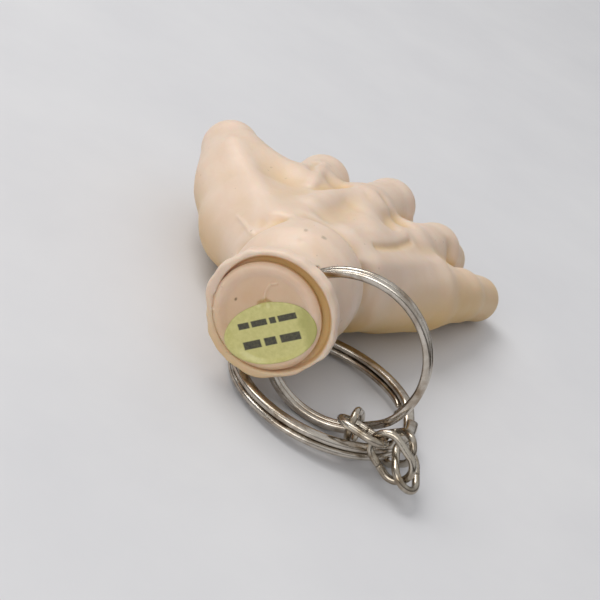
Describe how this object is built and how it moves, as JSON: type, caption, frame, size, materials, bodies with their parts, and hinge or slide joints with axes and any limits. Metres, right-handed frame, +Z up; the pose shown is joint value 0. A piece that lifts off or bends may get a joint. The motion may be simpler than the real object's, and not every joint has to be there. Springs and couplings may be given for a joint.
{
  "type": "keychain",
  "caption": "Souvenir keychain: a small vinyl hand with a plugged wrist, a split ring through the wrist, and a short chain to a larger key ring.",
  "frame": {"origin": "middle of the keychain's footprint, on the table that it lies on", "axes": "+Z up from the table, +Y from the wrist towards the fingertips, +X to the right seen from the wrist"},
  "size_m": [0.0586, 0.0842, 0.025],
  "materials": {
    "vinyl": "soft gloss moulded vinyl, skin tone",
    "plug_vinyl": "soft gloss moulded vinyl, slightly warmer",
    "label": null,
    "nickel": "nickel plated spring steel",
    "chain_nickel": "nickel plated steel wire, lightly worn"
  },
  "bodies": {
    "hand": {"hand_body": "vinyl", "wrist_plug": "plug_vinyl", "origin_label": "label"},
    "wrist_ring": {"wrist_ring": "nickel"},
    "chain_link_1": {"chain_link_1": "chain_nickel"},
    "chain_link_2": {"chain_link_2": "chain_nickel"},
    "chain_link_3": {"chain_link_3": "chain_nickel"},
    "chain_link_4": {"chain_link_4": "chain_nickel"},
    "chain_link_5": {"chain_link_5": "chain_nickel"},
    "key_ring": {"key_ring": "nickel"}
  },
  "joints": [
    {"name": "ring_through_wrist", "type": "hinge", "parent": "hand", "child": "wrist_ring", "pos_m": [0.00757, -0.03178, 0.01253], "axis": [-0.0871, -0.9956, 0.0349], "range_deg": [0, 100]},
    {"name": "link_1_swing", "type": "hinge", "parent": "wrist_ring", "child": "chain_link_1", "pos_m": [0.01431, -0.03271, 0.00283], "axis": [0.8178, -0.0515, 0.5732], "range_deg": [-4, 4]},
    {"name": "link_2_swing", "type": "hinge", "parent": "chain_link_1", "child": "chain_link_2", "pos_m": [0.01314, -0.03674, 0.0055], "axis": [0.137, -0.5733, -0.8078], "range_deg": [0, 70]},
    {"name": "link_3_swing", "type": "hinge", "parent": "chain_link_2", "child": "chain_link_3", "pos_m": [0.01846, -0.03849, 0.00607], "axis": [-0.3274, -0.8877, 0.3237], "range_deg": [0, 30]},
    {"name": "link_4_swing", "type": "hinge", "parent": "chain_link_3", "child": "chain_link_4", "pos_m": [0.02341, -0.03984, 0.00376], "axis": [0.4408, 0.0864, 0.8935], "range_deg": [-1, 0]},
    {"name": "link_5_swing", "type": "hinge", "parent": "chain_link_4", "child": "chain_link_5", "pos_m": [0.02175, -0.03469, 0.00528], "axis": [-0.8435, -0.3831, 0.3765], "range_deg": [-1, 0]},
    {"name": "key_ring_swing", "type": "hinge", "parent": "chain_link_5", "child": "key_ring", "pos_m": [0.02032, -0.03284, 0.00287], "axis": [0.4695, 0.8829, 0], "range_deg": [-10, 0]}
  ]
}
